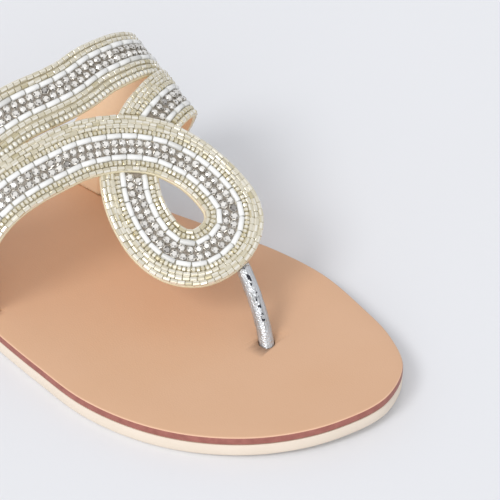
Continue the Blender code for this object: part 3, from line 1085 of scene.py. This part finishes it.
@dataclass
class Upper:
    """The ribbon with its loop, and the instep band beside it."""

    last: Last
    crossing_sink: float = 1.5
    crossing_under: tuple[float, float] = (14.2, 17.9)
    band_sink: float = 0.6
    over_marks: tuple[float, float] = (3.0, 8.6)
    under_from: float = 12.0
    clear: float = 0.35
    slot_play: float = 0.3
    slot_stations: int = 24
    slot_heights: tuple[float, float] = (3.0, 12.0)
    # Distance from the heel, share of girth.
    ribbon_path: tuple = (
        (141.0, 1.012), (141.0, 0.9), (142.8, 0.74), (147.0, 0.52), (152.0, 0.33), (156.0, 0.195),
        (162.6, 0.07), (171.8, -0.025), (180.4, -0.075), (189.4, -0.07), (194.0, 0.005), (195.4, 0.1),
        (193.2, 0.22), (187.8, 0.29), (180.6, 0.295), (172.6, 0.235), (165.6, 0.125), (162.0, -0.04),
        (158.6, -0.28), (152.0, -0.55), (146.2, -0.76), (143.2, -0.9), (142.5, -1.012),
    )
    band_path: tuple = (
        (125.4, 1.012), (125.4, 0.9), (127.8, 0.74), (132.8, 0.5), (138.0, 0.26), (141.6, 0.12),
        (143.1, 0.025), (143.3, -0.08), (143.8, -0.2), (143.2, -0.36), (137.8, -0.58), (131.4, -0.77),
        (127.6, -0.9), (127.0, -1.003),
    )
    # Rows of beads from the rear or outer edge, with their widths.
    ribbon_rows: tuple = (
        (Bead.GOLD_TUBE, 1.3), (Bead.GOLD_TUBE, 1.3), (Bead.GOLD_TUBE, 1.3), (Bead.GOLD_SEED, 1.5),
        (Bead.WHITE_TUBE, 1.6), (Bead.STONE, 2.3), (Bead.STONE, 2.3), (Bead.WHITE_TUBE, 1.6),
        (Bead.GOLD_SEED, 1.6), (Bead.GOLD_TUBE, 1.5),
    )
    band_rows: tuple = (
        (Bead.GOLD_TUBE, 1.7), (Bead.GOLD_TUBE, 1.7), (Bead.WHITE_TUBE, 1.6), (Bead.STONE, 2.3),
        (Bead.STONE, 2.3), (Bead.WHITE_TUBE, 1.6), (Bead.GOLD_TUBE, 1.8), (Bead.GOLD_TUBE, 1.8),
        (Bead.PEARL_SEED, 1.7),
    )
    ribbon: Strap = field(init=False)
    band: Strap = field(init=False)

    def __post_init__(self) -> None:
        """Lay out both straps."""
        self.ribbon = Strap("ribbon", self.last, self.ribbon_path, self.ribbon_rows, self.ribbon_dip)
        self.band = Strap("band", self.last, self.band_path, self.band_rows, self.band_dip)

    def ribbon_dip(self, marks: Array) -> Array:
        """How far the ribbon sinks where it passes under itself."""
        start, end = self.crossing_under
        return self.crossing_sink * smooth_step(marks - start) * smooth_step(end - marks)

    def band_dip(self, marks: Array) -> Array:
        """How far the band sinks below the ribbon, all along."""
        return np.full(len(marks), self.band_sink)

    def near_ribbon(self, points: Array, keep: Array) -> Array:
        """Tell which points lie under the ribbon.

        Args:
            points: points to test.
            keep: which stations of the ribbon count.

        Returns:
            True where a point is covered.
        """
        line = self.ribbon.centre[keep]
        gaps = np.linalg.norm(points[:, None, :] - line[None, :, :], axis=2).min(axis=1)
        return gaps < self.ribbon.half + self.clear

    def ribbon_hidden(self, points: Array, marks: Array) -> Array:
        """Beads of the ribbon's returning side that lie under its first side."""
        over = (self.ribbon.marks > self.over_marks[0]) & (self.ribbon.marks < self.over_marks[1])
        return (marks > self.under_from) & self.near_ribbon(points, over)

    def band_hidden(self, points: Array, marks: Array) -> Array:
        """Beads of the band that lie under the ribbon, at any mark."""
        return self.near_ribbon(points, np.ones(len(self.ribbon.marks), bool))

    def build(self) -> None:
        """Make both leather walls and all rows of beads."""
        walls = [look.build() for look in (Looks.LINING, Looks.BINDING, Looks.GROUND, Looks.SHADED_STONE_GROUND)]
        stringer = BeadStringer()
        tree = stringer.tree()
        gold, white, pearl, crystal, metal = (look.build() for look in (
            Looks.GOLD_GLASS, Looks.WHITE_GLASS, Looks.PEARL_GLASS, Looks.CRYSTAL, Looks.CUP_METAL))
        glass = {Bead.GOLD_TUBE: gold, Bead.GOLD_SEED: gold, Bead.WHITE_TUBE: white, Bead.PEARL_SEED: pearl}
        for strap, hidden in ((self.ribbon, self.ribbon_hidden), (self.band, self.band_hidden)):
            strap.build_wall(walls)
            for kind in Bead:
                seats = strap.bead_seats(kind, hidden)
                if not len(seats["points"]):
                    continue
                size = BEAD_SIZES[kind]
                name = f"{strap.name}_{kind.value}"
                if kind is Bead.STONE:
                    stringer.string(tree, name, seats, cut_stone(size), crystal, size, False)
                    stringer.string(tree, f"{name}_cups", seats, stone_cup(size), metal, size, False)
                else:
                    smooth = kind in (Bead.WHITE_TUBE, Bead.PEARL_SEED)
                    stringer.string(tree, name, seats, tube_bead(size), glass[kind], size, smooth)

    def slot_cutter(self, name: str, sign: float) -> Item:
        """Make the body that cuts one slot into the insole.

        Args:
            name: name of the cutter.
            sign: 1 on the lateral side, -1 on the medial side.

        Returns:
            The cutter.
        """
        sole = self.last.sole
        end, side = (0, sole.lateral) if sign > 0.0 else (-1, sole.medial)
        along = np.linspace(self.band_path[end][0] - self.band.half - self.slot_play,
                            self.ribbon_path[end][0] + self.ribbon.half + self.slot_play, self.slot_stations)
        middle = sole.edge_x(side, along) - sign * sole.slot_inset
        outer = middle + sign * (self.ribbon.ground + self.slot_play)
        inner = middle - sign * (self.ribbon.wall + self.band_sink + self.slot_play)
        low, high = self.slot_heights
        corners = ((outer, low), (outer, high), (inner, high), (inner, low))
        verts = [(x[i], along[i], z) for i in range(len(along)) for x, z in corners]
        return new_piece(name, verts, loft_faces(len(along), len(corners)), [])

    def cutters(self) -> list[Item]:
        """Bodies of both slots."""
        return [self.slot_cutter("lateral_slot", 1.0), self.slot_cutter("medial_slot", -1.0)]


@dataclass
class ToePost:
    """Round foil-leather post between the footbed and the loop."""

    last: Last
    radius: float = 2.1
    foot: tuple[float, float] = (-7.9, 216.0)
    head: tuple[float, float] = (202.4, 0.1)
    wall: float = 1.8
    bow: float = 1.5
    play: float = 0.3
    sides: int = 32
    rings: int = 34
    wrinkle: float = 0.07
    # Two crossing waves of folds: radians per radian around, radians from foot to head.
    waves: tuple = ((5.0, 9.0), (2.0, 41.0))
    drop_power: int = 12

    def axis(self) -> tuple[Array, Array, Array]:
        """Find the post's ends.

        Returns:
            Foot, head, and the normal of the loop above the head.
        """
        spot = np.array([self.head])
        normal = self.last.normals(spot)[0]
        head = self.last.points(spot)[0] - normal * (self.wall + self.play)
        foot_z = float(self.last.sole.outsole_top(np.array(self.foot[1]))) + self.play
        return np.array([*self.foot, foot_z]), head, normal

    def ring_points(self, margin: float, wrinkled: bool, drop: float = 0.0) -> Array:
        """Points of every ring from foot to head.

        Args:
            margin: added to the radius.
            wrinkled: whether the leather's folds show.
            drop: how far the foot is carried on below.

        Returns:
            Points by ring and side.
        """
        foot, head, normal = self.axis()
        bow = np.array([0.0, 4.0 * self.bow, 0.0])
        turn = FULL_TURN * np.arange(self.sides) / self.sides
        (around_a, up_a), (around_b, up_b) = self.waves
        rings = []
        for t in np.linspace(0.0, 1.0, self.rings):
            along = head - foot + bow * (1.0 - 2.0 * t)
            along /= np.linalg.norm(along)
            sunk = along * drop * (1.0 - t) ** self.drop_power
            point = foot + (head - foot) * t + bow * t * (1.0 - t) - sunk
            cut = along
            if t == 0.0:
                cut = np.array([0.0, 0.0, 1.0])
            elif t == 1.0:
                cut = normal
            across = np.cross(along, (1.0, 0.0, 0.0))
            across /= np.linalg.norm(across)
            beside = np.cross(across, along)
            folds = np.sin(around_a * turn + up_a * t) * np.sin(up_b * t + around_b * turn)
            size = self.radius + margin + self.wrinkle * wrinkled * folds
            reach = np.outer(np.cos(turn) * size, across) + np.outer(np.sin(turn) * size, beside)
            rings.append(point + reach - np.outer(reach @ cut / (along @ cut), along))
        return np.stack(rings)

    def skin(self, name: str, points: Array, materials: Sequence[Material]) -> Item:
        """Make an object of points by ring and side."""
        return new_piece(name, points.reshape(-1, 3), loft_faces(*points.shape[:2]), materials)

    def cutter(self) -> Item:
        """Body of the hole in the insole."""
        return self.skin("post_hole", self.ring_points(self.play, False, self.radius), [])

    def build(self) -> None:
        """Make the post, with a UV map that runs around it."""
        piece = self.skin("toe_post_foil", self.ring_points(0.0, True), [Looks.SILVER_FOIL.build()])
        layer = piece.data.uv_layers.new(name="around")
        sides = self.sides
        for polygon in piece.data.polygons:
            columns = [vertex % sides for vertex in polygon.vertices]
            wraps = max(columns) - min(columns) > sides // 2
            for loop, column, vertex in zip(polygon.loop_indices, columns, polygon.vertices):
                turned = column + sides if wraps and column < sides // 2 else column
                layer.data[loop].uv = (turned / sides, (vertex // sides) / self.rings)
        seat(piece, "toe_post")


@dataclass
class Studio:
    """Pale floor, soft light and the camera."""

    target: tuple[float, float, float] = (-36.0, 186.0, 7.0)
    azimuth_deg: float = 130.0
    elevation_deg: float = 40.0
    distance_mm: float = 650.0
    pixels_per_mm: float = 3.45
    picture_pixels: float = 500.0
    sensor_mm: float = 36.0
    view_reach_m: float = 20.0
    # Seamless paper: matte and nearly white.
    paper: PlainFinish = PlainFinish("matte_studio_paper", "#E7E8EB", 0.9, cloud="#E5E6E9", cloud_mm=300.0)
    floor_reach: float = 3000.0
    floor_drop: float = 0.05
    sky_colour: str = "#F5F6F9"
    sky_strength: float = 0.75
    # Name, strength, spread in degrees, elevation, turn to the left of the camera.
    softboxes: tuple = (
        ("key_softbox", 1.0, 20.0, 46.0, 45.0),
        ("front_softbox", 0.85, 50.0, 27.0, 5.0),
    )

    def build(self) -> None:
        """Make the floor, lights and camera."""
        far = self.floor_reach
        corners = [(x, y, -self.floor_drop) for x, y in ((-far, -far), (far, -far), (far, far), (-far, far))]
        floor = new_piece("studio_floor", corners, [(0, 1, 2, 3)], [self.paper.build()])
        world = bpy.data.worlds.new("studio_sky")
        bpy.context.scene.world = world
        world.use_nodes = True
        sky = world.node_tree.nodes["Background"]
        sky.inputs["Color"].default_value = linear(self.sky_colour)
        sky.inputs["Strength"].default_value = self.sky_strength
        bpy.context.scene.view_settings.view_transform = "Standard"
        for row in self.softboxes:
            self.softbox(*row)
        self.camera()

    def direction(self, azimuth_deg: float, elevation_deg: float) -> Vector:
        """Unit vector from the slipper towards a lamp or the camera."""
        turn, rise = math.radians(azimuth_deg), math.radians(elevation_deg)
        return Vector((math.sin(turn) * math.cos(rise), -math.cos(turn) * math.cos(rise), math.sin(rise)))

    def softbox(self, name: str, strength: float, spread_deg: float, elevation_deg: float,
                left_deg: float) -> None:
        """Hang a wide, far softbox.

        Args:
            name: name of the lamp.
            strength: its strength.
            spread_deg: how wide it looks from the slipper.
            elevation_deg: its height above the floor.
            left_deg: how far it hangs to the left of the camera.
        """
        data = bpy.data.lights.new(name, "SUN")
        data.energy = strength
        data.angle = math.radians(spread_deg)
        item = link(name, data)
        away = self.direction(self.azimuth_deg - left_deg, elevation_deg)
        item.rotation_euler = away.to_track_quat("Z", "Y").to_euler()
        item.location = Vector(self.target) * MM + SHIFT + away

    def camera(self) -> None:
        """Stand the camera where the photographer's stood."""
        turn = math.radians(self.azimuth_deg)
        back = self.direction(self.azimuth_deg, self.elevation_deg)
        right = Vector((math.cos(turn), math.sin(turn), 0.0))
        up = back.cross(right)
        data = bpy.data.cameras.new("camera")
        data.sensor_width = self.sensor_mm
        data.lens = data.sensor_width * self.pixels_per_mm * self.distance_mm / self.picture_pixels
        data.clip_end = self.view_reach_m
        item = link("camera", data)
        item.matrix_world = Matrix((right, up, back)).transposed().to_4x4()
        item.location = (Vector(self.target) + back * self.distance_mm) * MM + SHIFT
        bpy.context.scene.camera = item


SOLE = Sole()
OUTSOLE_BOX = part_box("outsole")
SHIFT = Vector((
    (OUTSOLE_BOX[0].x + OUTSOLE_BOX[1].x) / 2.0 - SOLE.middle_x * MM,
    OUTSOLE_BOX[0].y - SOLE.ends[0] * MM,
    OUTSOLE_BOX[0].z,
))


def main() -> None:
    """Build every part of the slipper and the studio."""
    logging.basicConfig(level=logging.INFO, format="%(name)s %(message)s")
    last = Last(SOLE)
    upper = Upper(last)
    post = ToePost(last)
    SOLE.build_outsole()
    SOLE.build_insole([*upper.cutters(), post.cutter()])
    upper.build()
    post.build()
    Studio().build()


if __name__ == "__main__":
    main()
